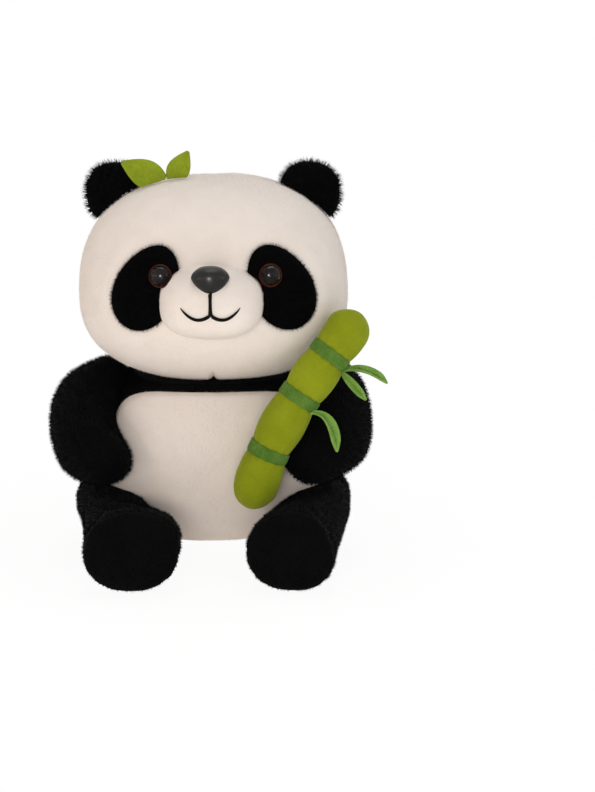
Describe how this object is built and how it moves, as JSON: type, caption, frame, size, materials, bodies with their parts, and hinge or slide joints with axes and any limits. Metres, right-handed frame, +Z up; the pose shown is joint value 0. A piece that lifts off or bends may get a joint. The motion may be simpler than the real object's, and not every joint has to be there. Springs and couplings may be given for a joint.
{
  "type": "plush panda",
  "caption": "Sitting plush panda with a white head and belly, black limbs and ears, a leaf sprout on its head, and a stuffed bamboo stalk in its arm; head, ears, arms and legs flex.",
  "frame": {"origin": "on the ground at the middle of the flat seat", "axes": "+Z up, -Y the way the panda looks, +X the panda's own left"},
  "size_m": [0.2024, 0.1754, 0.235],
  "materials": {
    "white_plush": "short pile",
    "black_plush": "medium pile",
    "fibre_fill": "loose fibre",
    "nose_plastic": "satin",
    "clear_plastic": "polished",
    "iris_plastic": "polished",
    "washer_plastic": "moulded",
    "black_thread": "embroidered",
    "stalk_fabric": "short pile",
    "band_fabric": "ribbon",
    "leaf_felt": "felt",
    "sprout_felt": "felt"
  },
  "bodies": {
    "torso": {"torso_cover": "black_plush", "belly_panel": "white_plush", "torso_filling": "fibre_fill", "tail": "black_plush"},
    "head": {"head_front": "white_plush", "head_back": "white_plush", "head_filling": "fibre_fill", "left_eye_patch": "black_plush", "right_eye_patch": "black_plush", "left_eye_iris": "iris_plastic", "right_eye_iris": "iris_plastic", "left_eye_lens": "clear_plastic", "right_eye_lens": "clear_plastic", "left_eye_washer": "washer_plastic", "right_eye_washer": "washer_plastic", "muzzle_cover": "white_plush", "muzzle_filling": "fibre_fill", "nose": "nose_plastic", "nose_washer": "washer_plastic", "philtrum_stitch": "black_thread", "left_smile_stitch": "black_thread", "right_smile_stitch": "black_thread", "sprout_leaf_1": "sprout_felt", "sprout_leaf_2": "sprout_felt"},
    "left_ear": {"left_ear_front": "black_plush", "left_ear_back": "black_plush"},
    "right_ear": {"right_ear_front": "black_plush", "right_ear_back": "black_plush"},
    "left_arm": {"left_arm_cover": "black_plush", "left_arm_filling": "fibre_fill", "bamboo_segment_1": "stalk_fabric", "bamboo_segment_2": "stalk_fabric", "bamboo_segment_3": "stalk_fabric", "bamboo_segment_4": "stalk_fabric", "bamboo_band_1": "band_fabric", "bamboo_band_2": "band_fabric", "bamboo_band_3": "band_fabric", "bamboo_leaf_1": "leaf_felt", "bamboo_leaf_2": "leaf_felt", "bamboo_leaf_3": "leaf_felt"},
    "right_arm": {"right_arm_cover": "black_plush", "right_arm_filling": "fibre_fill"},
    "left_leg": {"left_leg_cover": "black_plush", "left_leg_filling": "fibre_fill", "left_foot_sole": "black_plush"},
    "right_leg": {"right_leg_cover": "black_plush", "right_leg_filling": "fibre_fill", "right_foot_sole": "black_plush"}
  },
  "joints": [
    {"name": "head_turn", "type": "hinge", "parent": "torso", "child": "head", "pos_m": [0, 0.003, 0.104], "axis": [0, 0, 1], "range_deg": [-15, 15], "stiffness_Nm_per_rad": 0.05},
    {"name": "left_arm_open", "type": "hinge", "parent": "torso", "child": "left_arm", "pos_m": [0.056, 0.022, 0.11], "axis": [-0.65, 0, 0.76], "range_deg": [0, 30], "stiffness_Nm_per_rad": 0.02},
    {"name": "right_arm_open", "type": "hinge", "parent": "torso", "child": "right_arm", "pos_m": [-0.056, 0.022, 0.11], "axis": [-0.65, 0, -0.76], "range_deg": [0, 30], "stiffness_Nm_per_rad": 0.02},
    {"name": "left_leg_splay", "type": "hinge", "parent": "torso", "child": "left_leg", "pos_m": [0.06, 0.02, 0.02], "axis": [0, 0, 1], "range_deg": [0, 14], "stiffness_Nm_per_rad": 0.05},
    {"name": "right_leg_splay", "type": "hinge", "parent": "torso", "child": "right_leg", "pos_m": [-0.06, 0.02, 0.02], "axis": [0, 0, -1], "range_deg": [0, 14], "stiffness_Nm_per_rad": 0.05},
    {"name": "left_ear_fold", "type": "hinge", "parent": "head", "child": "left_ear", "pos_m": [0.0555, 0.0185, 0.20727], "axis": [-0.7833, 0, 0.6216], "range_deg": [0, 25], "stiffness_Nm_per_rad": 0.01},
    {"name": "right_ear_fold", "type": "hinge", "parent": "head", "child": "right_ear", "pos_m": [-0.0555, 0.0185, 0.20727], "axis": [-0.7833, 0, -0.6216], "range_deg": [0, 25], "stiffness_Nm_per_rad": 0.01}
  ]
}
